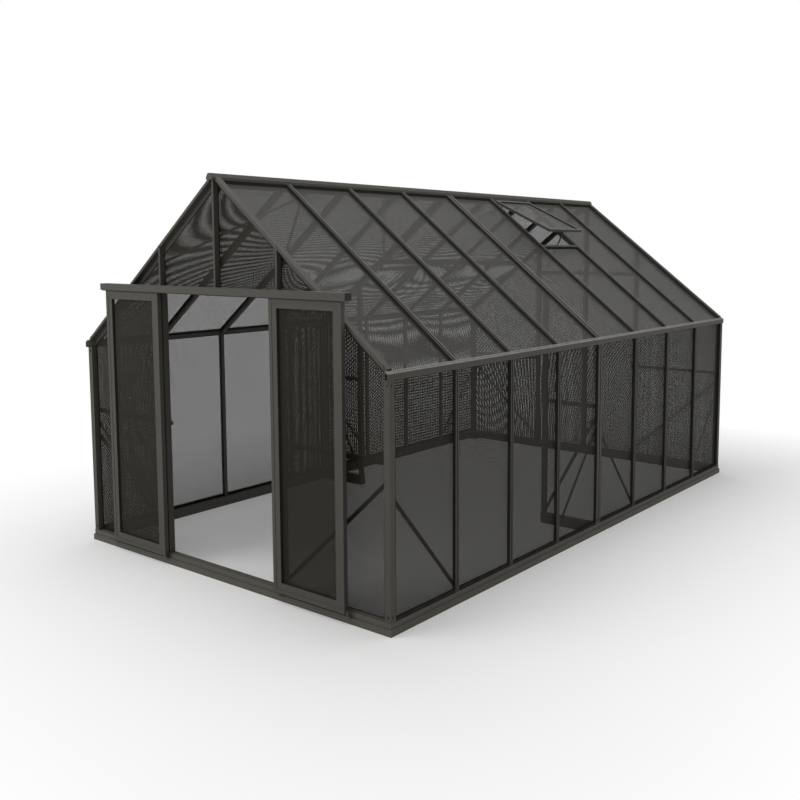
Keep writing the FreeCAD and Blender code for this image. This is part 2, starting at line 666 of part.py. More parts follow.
def hanger_places():
    return {"inner": DOOR_OPEN_INNER + ROLLER_INSET, "outer": DOOR_OPEN_OUTER - ROLLER_INSET}


def roller_span():
    """The roller's two faces, in front of the hanger's plate."""
    back = DOOR_MID - TRACK_SLOT / 2 - TRACK_WALL
    return back - ROLLER_WIDTH, back


def hanger(x):
    """Foot plate on the door, upright plate through the track's slot, and a stub axle."""
    y0, y1 = DOOR_MID - HANGER_PLATE / 2, DOOR_MID + HANGER_PLATE / 2
    front, back = roller_span()
    foot = block(x - HANGER_FOOT / 2, x + HANGER_FOOT / 2, DOOR_FRONT, DOOR_BACK, DOOR_TOP, DOOR_TOP + HANGER_FOOT_THICK)
    plate = block(x - HANGER_WIDTH / 2, x + HANGER_WIDTH / 2, y0, y1, DOOR_TOP, ROLLER_Z + HANGER_WIDTH / 2)
    axle = rod(AXLE_RADIUS, x, ROLLER_Z, front - ROLLER_GAP, y0)
    collar = rod(AXLE_COLLAR_RADIUS, x, ROLLER_Z, back + ROLLER_GAP, y0)
    head = rod(AXLE_COLLAR_RADIUS, x, ROLLER_Z, front - ROLLER_GAP - AXLE_HEAD, front - ROLLER_GAP)
    return foot.fuse([plate, axle, collar, head]).removeSplitter()


def roller(x):
    """Crowned wheel with a running bore."""
    front, back = roller_span()
    wheel = rod(ROLLER_RADIUS, x, ROLLER_Z, front, back)
    rims = [edge for edge in wheel.Edges if isinstance(edge.Curve, Part.Circle)]
    wheel = wheel.makeChamfer(ROLLER_WIDTH / 12, rims)
    return wheel.cut(rod(AXLE_RADIUS + PIN_CLEARANCE, x, ROLLER_Z, front - 1, back + 1))


def door_track():
    """Box track, open along a slot in its floor."""
    w = TRACK_WALL
    front, back = TRACK_FRONT, FRONT_OUT
    slot0, slot1 = DOOR_MID - TRACK_SLOT / 2, DOOR_MID + TRACK_SLOT / 2
    outline = [(front, TRACK_BOTTOM), (slot0, TRACK_BOTTOM), (slot0, TRACK_LIP), (front + w, TRACK_LIP),
               (front + w, TRACK_TOP - w), (back - w, TRACK_TOP - w), (back - w, TRACK_LIP), (slot1, TRACK_LIP),
               (slot1, TRACK_BOTTOM), (back, TRACK_BOTTOM), (back, TRACK_TOP), (front, TRACK_TOP)]
    return prism_yz(outline, -TRACK_HALF_LENGTH, TRACK_HALF_LENGTH)


def track_end_caps():
    w = TRACK_WALL
    cap = block(TRACK_HALF_LENGTH - TRACK_CAP, TRACK_HALF_LENGTH, TRACK_FRONT + w, FRONT_OUT - w, TRACK_LIP, TRACK_TOP - w)
    return both_sides([cap])


def base_hook(rise, thick):
    """Section of a bracket on the plinth's face, with an upstand under or beside the door."""
    arm_top = DOOR_BOTTOM - GUIDE_UNDER_DOOR
    front, back = DOOR_MID - thick / 2, DOOR_MID + thick / 2
    return [(0, GUIDE_FOOT_Z), (0, arm_top), (back, arm_top), (back, rise), (front, rise),
            (front, arm_top - GUIDE_ARM), (-GUIDE_PLATE, arm_top - GUIDE_ARM), (-GUIDE_PLATE, GUIDE_FOOT_Z)]


def door_guides():
    fin = base_hook(DOOR_BOTTOM + GUIDE_ENGAGE, GUIDE_FIN)
    return both_sides([prism_yz(fin, JAMB_CENTRE - GUIDE_WIDTH / 2, JAMB_CENTRE + GUIDE_WIDTH / 2)])


def door_stops():
    x0 = DOOR_OPEN_OUTER + STOP_GAP
    return both_sides([prism_yz(base_hook(DOOR_BOTTOM + STOP_RISE, STOP_THICK), x0, x0 + STOP_WIDTH)])


# Vent, drawn closed and then opened

def vent_hinge():
    return slope(VENT_HINGE_U, -VENT_HINGE_DEPTH)


def vent_bay():
    return bay_edges(VENT_BAY, RAFTER_WIDTH, FRONT_IN, BACK_IN)


def vent_frame():
    y0, y1 = vent_bay()
    y0, y1 = y0 + VENT_SIDE_GAP, y1 - VENT_SIDE_GAP
    u0, u1 = VENT_HINGE_U + VENT_TOP_GAP, VENT_END_U
    h0, h1 = VENT_PROUD - VENT_THICK, VENT_PROUD
    frame = slope_prism(u0, u1, h0, h1, y0, y1)
    frame = frame.cut(slope_prism(u0 + VENT_BAR, u1 - VENT_BAR, h0 - 1, h1 + 1, y0 + VENT_BAR, y1 - VENT_BAR))
    hx, hz = vent_hinge()
    added = []
    bores = []
    for start in (y0 + VENT_EYE_FROM_END, y1 - VENT_EYE_FROM_END - VENT_EYE_LENGTH):
        end = start + VENT_EYE_LENGTH
        added.append(rod(VENT_EYE_RADIUS, hx, hz, start, end))
        added.append(slope_prism(VENT_HINGE_U, u0 + 1, h0, VENT_ROD_RADIUS - VENT_HINGE_DEPTH, start, end))
        bores.append(rod(VENT_ROD_RADIUS + PIN_CLEARANCE, hx, hz, start - 1, end + 1))
    middle = (y0 + y1) / 2
    px, pz = stay_pivot()
    lug_back = middle - STAY_THICK / 2 - STAY_SIDE_GAP
    lug_u = VENT_END_U - STAY_PIVOT_FROM_END
    added.append(slope_prism(lug_u - STAY_LUG_WIDTH / 2, lug_u + STAY_LUG_WIDTH / 2, -STAY_PIVOT_DEPTH - STAY_HEAD_RADIUS,
                             h0 + 1, lug_back - STAY_LUG_THICK, lug_back))
    head = middle + STAY_THICK / 2 + STAY_SIDE_GAP
    added.append(rod(STAY_PIN_RADIUS, px, pz, lug_back - 1, head + 1))
    added.append(rod(STAY_HEAD_RADIUS, px, pz, head, head + STAY_HEAD))
    frame = frame.fuse(added).removeSplitter()
    for bore in bores:
        frame = frame.cut(bore)
    return frame


def vent_mesh():
    c = MESH_CLEARANCE
    y0, y1 = vent_bay()
    inset = VENT_SIDE_GAP + VENT_BAR + c
    h = VENT_PROUD - VENT_THICK / 2
    return slope_prism(VENT_HINGE_U + VENT_TOP_GAP + VENT_BAR + c, VENT_END_U - VENT_BAR - c,
                       h - MESH_THICK / 2, h + MESH_THICK / 2, y0 + inset, y1 - inset)


def stay_pivot():
    return slope(VENT_END_U - STAY_PIVOT_FROM_END, -STAY_PIVOT_DEPTH)


def vent_stay():
    """Flat bar with holes; turned back by the opening, so that it leans alike at every opening."""
    y0, y1 = vent_bay()
    middle = (y0 + y1) / 2
    px, pz = stay_pivot()
    half = STAY_WIDTH / 2
    back, front = middle - STAY_THICK / 2, middle + STAY_THICK / 2
    bar = block(px - half, px + half, back, front, pz - STAY_LENGTH, pz)
    bar = bar.fuse([rod(half, px, pz, back, front), rod(half, px, pz - STAY_LENGTH, back, front)]).removeSplitter()
    bar = bar.cut(rod(STAY_PIN_RADIUS + PIN_CLEARANCE, px, pz, back - 1, front + 1))
    for k in range(STAY_HOLES):
        hole_z = pz - STAY_LENGTH + k * STAY_HOLE_PITCH
        bar = bar.cut(rod(STAY_HOLE_RADIUS, px, hole_z, back - 1, front + 1))
    bar.rotate(Vector(px, 0, pz), Vector(0, 1, 0), STAY_LEAN + VENT_ANGLE)
    return bar


def vent_parts():
    hx, hz = vent_hinge()
    y0, y1 = vent_bay()
    u0 = VENT_END_U + VENT_SILL_GAP
    sill = slope_prism(u0, u0 + VENT_SILL_WIDTH, -VENT_SILL_SINK - VENT_SILL_DEPTH, -VENT_SILL_SINK, y0, y1)
    moving = {"roof_vent_frame": vent_frame(), "roof_vent_mesh": vent_mesh(), "roof_vent_stay": vent_stay()}
    for shape in moving.values():
        shape.rotate(Vector(hx, 0, hz), Vector(0, -1, 0), VENT_ANGLE)
    parts = {name: [shape] for name, shape in moving.items()}
    parts["vent_sill"] = [sill]
    parts["vent_hinge_rod"] = [rod(VENT_ROD_RADIUS, hx, hz, y0, y1)]
    return parts


# Bolt heads on the outside of the frame

def frame_bolts():
    low, high = BASE_HEIGHT + BOLT_FROM_END, EAVE_BEAM_BOTTOM - BOLT_FROM_END
    outward, forward, backward = Vector(1, 0, 0), Vector(0, -1, 0), Vector(0, 1, 0)
    corner_x = CORNER_IN + CORNER_POST / 2
    heads = []
    for z in (low, high):
        for y in [stud_y(0), stud_y(BAYS)] + bar_lines():
            heads.append(bolt_head(WALL_OUT, y, z, outward))
        heads.append(bolt_head(corner_x, FRONT_OUT, z, forward))
        heads.append(bolt_head(corner_x, BACK_OUT, z, backward))
    for x in (JAMB_CENTRE, EAVE_IN - BOLT_FROM_END):
        z = roof_z(x, (GABLE_LIP_DEPTH - GABLE_RAFTER_PROUD) / 2)
        heads.append(bolt_head(x, FRONT_OUT, z, forward))
        heads.append(bolt_head(x, BACK_OUT, z, backward))
    heads.append(bolt_head(JAMB_CENTRE, BACK_OUT, low, backward))
    return both_sides(heads)


def build():
    studs = wall_studs()
    rafters = [rafter(y) for y in bar_lines()]
    parts = plinth()
    parts["anchor_brackets"] = anchor_brackets()
    parts["corner_posts"] = corner_posts()
    parts["right_wall_studs"] = studs
    parts["left_wall_studs"] = [mirrored(stud) for stud in studs]
    parts["wall_braces"] = wall_braces()
    parts["right_eave_beam"] = [eave_beam()]
    parts["left_eave_beam"] = [mirrored(eave_beam())]
    parts["ridge_beam"] = [ridge_beam()]
    parts["ridge_end_caps"] = ridge_end_caps()
    parts["right_rafters"] = rafters
    parts["left_rafters"] = [mirrored(bar) for bar in rafters]
    parts["gable_rafters"] = both_sides([gable_rafter(FRONT_OUT, FRONT_IN, FRONT_FLANGE),
                                         gable_rafter(BACK_IN, BACK_OUT, BACK_FLANGE)])
    parts["roof_braces"] = roof_braces()
    parts["front_jambs"] = front_jambs()
    parts["front_king_stud"] = [king_stud(KING_STUD_WIDTH, FRONT_OUT, FRONT_IN, HEADER_TOP, FRONT_FLANGE)]
    parts["back_studs"] = back_studs()
    parts["header_rails"] = header_rails()
    parts["gable_mid_rails"] = gable_mid_rails()
    parts["gable_braces"] = gable_braces()
    parts.update(mid_frame())
    parts["right_wall_mesh"] = wall_mesh()
    parts["left_wall_mesh"] = [mirrored(sheet) for sheet in wall_mesh()]
    parts["right_roof_mesh"] = roof_mesh(1)
    parts["left_roof_mesh"] = roof_mesh(-1)
    front, back = FRONT_OUT + GABLE_MESH_INSET, BACK_OUT - GABLE_MESH_INSET - MESH_THICK
    slim, half = KING_STUD_WIDTH / 2, STUD_WIDTH / 2
    parts["front_gable_mesh"] = gable_mesh(front, JAMB_WIDTH / 2, slim, slim, HEADER_TOP)
    parts["back_gable_mesh"] = gable_mesh(back, half, half, half, BASE_HEIGHT)
    parts["door_track"] = [door_track()]
    parts["track_end_caps"] = track_end_caps()
    parts["door_guides"] = door_guides()
    parts["door_stops"] = door_stops()
    for side, turn in (("right", lambda shape: shape), ("left", mirrored)):
        parts[side + "_door_frame"] = [turn(door_frame())]
        parts[side + "_door_mesh"] = [turn(door_mesh())]
        parts[side + "_door_hangers"] = [turn(hanger(x)) for x in hanger_places().values()]
        for place, x in hanger_places().items():
            parts["%s_door_roller_%s" % (side, place)] = [turn(roller(x))]
    parts.update(vent_parts())
    parts["frame_bolts"] = frame_bolts()
    return parts


def export(parts):
    os.makedirs("parts", exist_ok=True)
    for node, shapes in parts.items():
        shape = shapes[0] if len(shapes) == 1 else Part.makeCompound(shapes)
        shape.translate(Vector(0, -Y_MIDDLE, 0))
        shape.exportStep("parts/%s.step" % node)
        print("%-28s %3d solids %9.1f cm3" % (node, len(shape.Solids), shape.Volume / 1000))
    print("hinge", [round(value, 3) for value in vent_hinge()], "roller z", ROLLER_Z, "y middle", Y_MIDDLE)


export(build())
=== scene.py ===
"""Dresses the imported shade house: a powder-coated frame, stretched shade mesh, fixings and a plain studio."""
import json
import math

import bmesh
import bpy
from bpy.props import FloatProperty, FloatVectorProperty, PointerProperty
from mathutils import Matrix, Vector, noise


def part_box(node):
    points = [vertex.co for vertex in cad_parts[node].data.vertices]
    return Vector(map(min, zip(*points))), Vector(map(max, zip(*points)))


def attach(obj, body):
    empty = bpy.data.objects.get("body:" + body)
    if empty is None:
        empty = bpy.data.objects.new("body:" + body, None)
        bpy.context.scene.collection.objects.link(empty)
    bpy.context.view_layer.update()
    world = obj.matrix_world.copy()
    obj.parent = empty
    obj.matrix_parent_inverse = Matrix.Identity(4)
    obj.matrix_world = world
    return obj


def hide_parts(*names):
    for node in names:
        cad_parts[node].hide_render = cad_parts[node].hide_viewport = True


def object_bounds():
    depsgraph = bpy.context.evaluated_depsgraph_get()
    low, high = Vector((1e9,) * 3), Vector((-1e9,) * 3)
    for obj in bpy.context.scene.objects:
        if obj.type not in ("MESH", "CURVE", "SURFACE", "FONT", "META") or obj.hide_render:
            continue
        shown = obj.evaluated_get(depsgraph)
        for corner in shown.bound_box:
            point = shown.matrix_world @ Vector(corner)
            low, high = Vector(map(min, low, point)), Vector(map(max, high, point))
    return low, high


bl_info = {
    "name": "Shade House Dresser",
    "version": (1, 0, 0),
    "blender": (4, 5, 0),
    "location": "View3D > Sidebar > Shade House",
    "description": "Finishes for the frame, mesh and fixings of a gable-roofed shade house",
    "category": "Object",
}

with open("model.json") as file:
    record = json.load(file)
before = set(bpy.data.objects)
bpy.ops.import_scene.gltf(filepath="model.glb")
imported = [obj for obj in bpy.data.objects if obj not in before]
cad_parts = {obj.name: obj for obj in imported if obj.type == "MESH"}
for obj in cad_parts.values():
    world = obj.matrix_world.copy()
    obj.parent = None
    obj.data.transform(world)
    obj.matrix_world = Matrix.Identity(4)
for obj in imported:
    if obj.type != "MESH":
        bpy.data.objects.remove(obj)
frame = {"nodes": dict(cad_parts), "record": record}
CAD_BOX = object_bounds()
SLOT_OF = {part["node"]: part["material_slot"] for part in frame["record"]["subparts"]}

# Directions in the house, whose doors are at the front
UP = Vector((0.0, 0.0, 1.0))
ALONG_HOUSE = Vector((0.0, 1.0, 0.0))
ACROSS_HOUSE = Vector((1.0, 0.0, 0.0))
OUT_OF_FRONT = Vector((0.0, -1.0, 0.0))
OUT_OF_BACK = ALONG_HOUSE
SIDES = (("left", -ACROSS_HOUSE), ("right", ACROSS_HOUSE))
ENDS = (("front", OUT_OF_FRONT), ("back", OUT_OF_BACK))
DOORS = ("left_door", "right_door")

# Bars with painted light on the faces that look into the house, and how sharply the painted light begins
INNER_LIT_BARS = (
    "left_wall_studs", "right_wall_studs", "wall_braces", "left_rafters", "right_rafters", "roof_braces",
    "mid_frame_posts", "mid_frame_sills", "mid_frame_rails", "mid_frame_braces", "collar_tie",
)
INNER_LIGHT_SHARPNESS = 6.0

# How far each seal reaches out from its mesh, and how far it overlaps the bar, in metres
SEAL_REACH = {"wall": 0.019, "roof": 0.016, "gable": 0.003, "door": 0.012, "vent": 0.008}
FLUSH = 0.0003

# Section of a strip on a bar, as shares of its width and of its rise
STRIP_SECTION = ((-0.5, 0.0), (-0.4, 1.0), (0.4, 1.0), (0.5, 0.0))

# Brush under the door track, in metres
BRUSH_END = 0.02
BRUSH_DEPTH = 0.002
BRUSH_CLEARANCE = 0.0007

# Limits for reading and cutting meshes: distances in metres, a share of an area, then cosines of angles
MERGE_DISTANCE = 0.00002
FACE_TOLERANCE = 0.0005
CUT_TOLERANCE = 0.000001
SAME_SIZE = 0.9999
SAME_FACING = 0.999
STRAIGHT_ON = 0.99999
UPRIGHT = 0.9

# The sheets' own map, and how tightly their slack ripples
SHEET_MAP = "sheet_metres"
RIPPLE_SCALE = 2.3

# Studio: the floor, the softboxes (name, power setting, sides, place, target) and the camera
WHITE = (1.0, 1.0, 1.0)
BLACK = (0.0, 0.0, 0.0)
FLOOR_HALF = 60.0
FLOOR_DROP = 0.0005
SOFTBOXES = (
    ("overhead_softbox", "overhead_power", (9.0, 10.0), (0.0, -0.6, 6.2), (0.0, -0.6, 0.0)),
    ("front_softbox", "front_power", (5.0, 5.0), (-3.5, -8.0, 4.0), (0.0, -2.5, 1.2)),
)
SENSOR_WIDTH = 36.0
CAMERA_PLACE = (4.87568, -6.41508, 2.23234)
CAMERA_TURNS = ((0.663245, "Z"), (1.467818, "X"), (-0.001659, "Z"))
CAMERA_SHIFT = (-0.0405, -0.0708)


class FrameFinish(bpy.types.PropertyGroup):
    """The coated bars, their fixings, moulded pieces and rubber trim."""

    coat_colour: FloatVectorProperty(
        name="Coat colour", description="Powder coat on the bars", subtype="COLOR", size=3,
        default=(0.062, 0.058, 0.049))
    coat_roughness: FloatProperty(
        name="Coat roughness", description="Roughness of the satin powder coat", subtype="FACTOR",
        default=0.5)
    # One pale colour for real dust and for painted light on the bars' tops and inner faces
    dust_colour: FloatVectorProperty(
        name="Dust colour", description="Fine dust that settles on the bars", subtype="COLOR", size=3,
        default=(0.28, 0.27, 0.248))
    # Cover on upward faces: partly dust, partly painted light from above
    dust_cover: FloatProperty(
        name="Dust cover", description="How much of the upward faces the dust covers", subtype="FACTOR",
        default=0.06)
    # Painted highlight: the eave beams' upward faces are washed pale, as if catching the sky
    eave_dust: FloatProperty(
        name="Eave dust", description="Dust cover on the eave beams, where the rain leaves it", default=1.55)
    # Plinth paleness tones the plinth's whole coat evenly paler than the other bars
    plinth_paleness: FloatProperty(
        name="Plinth paleness", description="How much paler dried splashes make the plinth's coat",
        default=1.35)
    # Painted light: a pale wash on the faces of bars that look into the house, as if lit inside
    inner_film: FloatProperty(
        name="Inner film", description="Dust film on the faces of bars that look into the house",
        subtype="FACTOR", default=0.34)
    steel_colour: FloatVectorProperty(
        name="Steel colour", description="Dark plating on bolts, hangers and stays", subtype="COLOR", size=3,
        default=(0.07, 0.066, 0.058))
    plastic_colour: FloatVectorProperty(
        name="Plastic colour", description="Moulded rollers and end caps", subtype="COLOR", size=3,
        default=(0.014, 0.014, 0.013))
    rubber_colour: FloatVectorProperty(
        name="Rubber colour", description="Seals that hold the mesh in its bars", subtype="COLOR", size=3,
        default=(0.025, 0.0242, 0.022))
    # Stud strips and rafter caps are rubber, and their black also stands in for the shade in the bars' grooves
    strip_width: FloatProperty(
        name="Strip width", description="Width of the rubber strip in the groove along a stud", unit="LENGTH",
        default=0.01)
    cap_width: FloatProperty(
        name="Cap width", description="Width of the rubber cap along the middle of a rafter", unit="LENGTH",
        default=0.013)
    # Painted highlight: a pale strip along each rafter's back edge stands in for the light that edge catches
    drip_width: FloatProperty(
        name="Drip width", description="Width of the pale drip edge along a rafter's side", unit="LENGTH",
        default=0.008)
    strip_rise: FloatProperty(
        name="Strip rise", description="How far strips, caps and drips stand above the bar", unit="LENGTH",
        default=0.0008)
    seal_width: FloatProperty(
        name="Seal width", description="How far a seal's lip stands into its bay", unit="LENGTH",
        default=0.002)
    seal_lip: FloatProperty(
        name="Seal lip", description="Thickness of a seal's lip", unit="LENGTH", default=0.0012)
    foot_seal: FloatProperty(
        # The tall foot seal's black also stands in for the shade at the foot of each wall bay
        name="Foot seal", description="Height of the seal along the foot of a wall bay", unit="LENGTH",
        default=0.02)
    roof_wedge: FloatProperty(
        name="Roof wedge", description="Width of a roof seal's wedge where it meets the mesh", unit="LENGTH",
        default=0.011)


class MeshCloth(bpy.types.PropertyGroup):
    """The knitted shade mesh in every bay."""

    hole_pitch: FloatProperty(
        name="Hole pitch", description="Distance from one hole of the knit to the next", unit="LENGTH",
        default=0.0062)
    open_share: FloatProperty(
        name="Open share", description="Share of the mesh that is hole", subtype="FACTOR", default=0.177)
    coarse_knit: FloatProperty(
        name="Coarse knit", description="How much coarser the knit is on the left slope and at the back",
        default=1.6)
    left_knit: FloatProperty(
        name="Left knit", description="How much coarser the knit is in the left wall", default=1.35)
    door_knit: FloatProperty(
        name="Door knit", description="How much coarser the knit is in the doors", default=0.55)
    tape_colour: FloatVectorProperty(
        name="Tape colour", description="The knitted tape between the holes", subtype="COLOR", size=3,
        default=(0.0125, 0.0108, 0.006))
    # Painted light from above: the mesh is washed paler on faces that look up
    faded_colour: FloatVectorProperty(
        name="Faded colour", description="Tape that dust and sun have paled on faces that look up",
        subtype="COLOR", size=3, default=(0.075, 0.073, 0.067))
    grid: FloatProperty(
        name="Grid", description="Spacing of the sheet's own vertices", unit="LENGTH", default=0.07)
    roof_sag: FloatProperty(
        name="Roof sag", description="How far a roof sheet hangs in the middle of its bay", unit="LENGTH",
        default=0.003)
    wall_wave: FloatProperty(
        name="Wall wave", description="Slack left in a sheet, as ripples", unit="LENGTH", default=0.0015)


class Studio(bpy.types.PropertyGroup):
    """Floor, light and camera."""

    floor_colour: FloatVectorProperty(
        name="Floor colour", description="Pale floor beside the house", subtype="COLOR", size=3,
        default=(0.92, 0.92, 0.915))
    floor_glow: FloatProperty(
        name="Floor glow", description="Share of white in the floor under and beside the house",
        subtype="FACTOR", default=0.15)
    fade_end: FloatProperty(
        name="Fade end", description="Distance from the house where the floor is all white", unit="LENGTH",
        default=2.4)
    overhead_power: FloatProperty(
        name="Overhead power", description="Power of the soft overhead lamp", unit="POWER", default=200.0)
    front_power: FloatProperty(
        name="Front power", description="Power of the soft lamp in front of the house", unit="POWER",
        default=200.0)
    sky_light: FloatProperty(
        name="Sky light", description="Even light from all round", default=0.5)
    lens: FloatProperty(
        name="Lens", description="Focal length of the camera", unit="CAMERA", default=42.247)


class Wire:
    """A shader socket. Python's operators on it add Math nodes."""

    def __init__(self, graph, socket):
        self.graph = graph
        self.socket = socket

    def maths(self, operation, *values):
        return self.graph.node("ShaderNodeMath", {"operation": operation}, dict(enumerate(values)))

    def __add__(self, other):
        return self.maths("ADD", self, other)

    def __radd__(self, other):
        return self.maths("ADD", other, self)

    def __sub__(self, other):
        return self.maths("SUBTRACT", self, other)

    def __rsub__(self, other):
        return self.maths("SUBTRACT", other, self)

    def __mul__(self, other):
        return self.maths("MULTIPLY", self, other)

    def __rmul__(self, other):
        return self.maths("MULTIPLY", other, self)

    def __pow__(self, other):
        return self.maths("POWER", self, other)

    def __abs__(self):
        return self.maths("ABSOLUTE", self)

    def above(self, limit):
        return self.maths("GREATER_THAN", self, limit)

    def largest(self, other):
        return self.maths("MAXIMUM", self, other)

    def from_cell_middle(self):
        """Distance from the middle of the unit cell, from 0 to 0.5."""
        return abs(self.maths("FRACT", self) - 0.5)

    def clamped(self):
        return self.graph.node("ShaderNodeClamp", {}, {"Value": self})


class Graph:
    """A node tree with one closing shader, and the nodes that are added before it."""

    def __init__(self, tree, shader):
        self.tree = tree
        self.shader = tree.nodes[shader]

    def node(self, kind, settings, sockets, out=0):
        """Adds a node with its settings, then its sockets' values or wires, and gives one of its outputs."""
        made = self.tree.nodes.new(kind)
        for name, value in settings.items():
            setattr(made, name, value)
        self.fill(made, sockets)
        return Wire(self, made.outputs[out])

    def fill(self, node, sockets):
        for key, value in sockets.items():
            socket = node.inputs[key]
            if isinstance(value, Wire):
                self.tree.links.new(value.socket, socket)
            elif socket.type == "RGBA":
                socket.default_value = (*value, 1.0)
            else:
                socket.default_value = value

    def set(self, **sockets):
        """Values or wires for the closing shader, with underscores for the spaces in its socket names."""
        self.fill(self.shader, {name.replace("_", " "): value for name, value in sockets.items()})

    def seen_directly(self):
        """1 for rays that show the floor or the sky in the picture, and 0 for those that only carry light."""
        rays = [self.node("ShaderNodeLightPath", {}, {}, out=kind)
                for kind in ("Is Camera Ray", "Is Glossy Ray", "Is Transmission Ray")]
        return rays[0].largest(rays[1]).largest(rays[2])


class Coat(Graph):
    """One procedural material and the nodes behind it."""

    def __init__(self, name):
        self.material = bpy.data.materials.new(name)
        self.material.use_nodes = True
        super().__init__(self.material.node_tree, "Principled BSDF")

    def place(self):
        return self.node("ShaderNodeTexCoord", {}, {}, out="Object")

    def surface(self, out):
        """The surface's own Position or Normal."""
        return self.node("ShaderNodeNewGeometry", {}, {}, out=out)

    def part(self, vector, axis):
        return self.node("ShaderNodeSeparateXYZ", {}, {"Vector": vector}, out=axis)

    def facing_up(self):
        return self.part(self.surface("Normal"), "Z").clamped()

    def facing_in(self):
        """1 on faces that look towards the house's middle line, from either side."""
        outwards = self.part(self.surface("Position"), "X") * self.part(self.surface("Normal"), "X")
        return (outwards * -INNER_LIGHT_SHARPNESS).clamped()

    def stretched(self, place, scale):
        return self.node("ShaderNodeVectorMath", {"operation": "MULTIPLY"}, {0: place, 1: scale})

    def noise(self, place, scale, detail, rough=0.5):
        sockets = {"Vector": place, "Scale": scale, "Detail": detail, "Roughness": rough}
        return self.node("ShaderNodeTexNoise", {}, sockets)

    def blend(self, factor, first, second):
        """A Mix node for colours, whose factor, colours and result are the sockets 0, 6, 7 and 2."""
        return self.node("ShaderNodeMix", {"data_type": "RGBA"}, {0: factor, 6: first, 7: second}, out=2)

    def shades(self, factor, colour, dark, light):
        return self.blend(factor, shade_of(colour, dark), shade_of(colour, light))

    def bump(self, height, depth, strength):
        return self.node("ShaderNodeBump", {}, {"Height": height, "Distance": depth, "Strength": strength})


def shade_of(colour, factor):
    return tuple(channel * factor for channel in colour)


def coated(name, finish, dust_cover, paleness=1.0, painted_light=0.0):
    """Satin powder coat with a faint mottle, grain and peel. It is paler on faces that look up, from dust and
    painted light from above, and on faces that look in, from painted light.
    """
    coat = Coat(name)
    colour = shade_of(finish.coat_colour, paleness)
    place = coat.place()
    mottle = coat.noise(place, scale=9.0, detail=4.0)
    grain = coat.noise(place, scale=950.0, detail=1.0)
    peel = coat.noise(place, scale=240.0, detail=1.0)
    drift = coat.noise(place, scale=26.0, detail=5.0, rough=0.65)
    paint = coat.shades(mottle, colour, dark=0.86, light=1.14)
    specks = grain.above(0.66) * 0.35
    paint = coat.blend(specks, paint, shade_of(colour, 1.5))
    # Painted light: faces that look into the house are washed with the pale colour, as if lit inside
    if painted_light:
        paint = coat.blend(coat.facing_in() * painted_light * (0.8 + 0.4 * drift), paint, finish.dust_colour)
    # Pale on faces that look up: dust, and painted light from above
    dust = (coat.facing_up() ** 3.0) * dust_cover * (0.4 + 1.2 * drift)
    coat.set(Base_Color=coat.blend(dust.clamped(), paint, finish.dust_colour),
             Roughness=finish.coat_roughness + 0.1 * mottle + 0.3 * dust,
             Specular_IOR_Level=0.18,
             Normal=coat.bump(grain + 1.6 * peel, depth=0.0001, strength=0.55))
    return coat.material


def powder_coat(finish):
    """The plain coat on posts, ridge, gables, doors, track and vent."""
    return coated("powder_coat", finish, finish.dust_cover)


def filmed_coat(finish):
    """The coat on wall and roof bars, with painted light on the faces that look into the house."""
    return coated("filmed_coat", finish, finish.dust_cover, painted_light=finish.inner_film)


def splashed_coat(finish):
    """The coat on the plinth, evenly paler than the rest of the frame, with painted light on faces that look
    into the house.
    """
    return coated("splashed_coat", finish, finish.dust_cover, finish.plinth_paleness, finish.inner_film)


def weathered_coat(finish):
    """The coat on the eave beams and the rafters' pale edge strips, with a painted highlight on faces that look
    up and painted light on faces that look into the house.
    """
    return coated("weathered_coat", finish, finish.eave_dust, painted_light=finish.inner_film)


def dark_plated_steel(finish):
    coat = Coat("dark_plated_steel")
    place = coat.place()
    brushed = coat.noise(coat.stretched(place, (40.0, 40.0, 900.0)), scale=1.0, detail=3.0)
    cloud = coat.noise(place, scale=30.0, detail=4.0)
    coat.set(Metallic=1.0,
             Base_Color=coat.shades(cloud, finish.steel_colour, dark=0.7, light=1.3),
             Roughness=0.3 + 0.25 * brushed,
             Normal=coat.bump(brushed, depth=0.00008, strength=0.5))
    return coat.material


def moulded_plastic(finish):
    coat = Coat("moulded_plastic")
    place = coat.place()
    grain = coat.noise(place, scale=700.0, detail=2.0)
    cloud = coat.noise(place, scale=20.0, detail=3.0)
    coat.set(Base_Color=coat.shades(cloud, finish.plastic_colour, dark=0.75, light=1.35),
             Roughness=0.48 + 0.16 * cloud,
             Specular_IOR_Level=0.2,
             Normal=coat.bump(grain, depth=0.00015, strength=0.6))
    return coat.material


def seal_rubber(finish):
    coat = Coat("seal_rubber")
    place = coat.place()
    grain = coat.noise(place, scale=420.0, detail=3.0)
    bloom = coat.noise(place, scale=14.0, detail=5.0, rough=0.6)
    coat.set(Base_Color=coat.shades(bloom, finish.rubber_colour, dark=0.6, light=1.7),
             Roughness=0.58 + 0.2 * bloom,
             Specular_IOR_Level=0.0,
             Normal=coat.bump(grain, depth=0.0002, strength=0.5))
    return coat.material


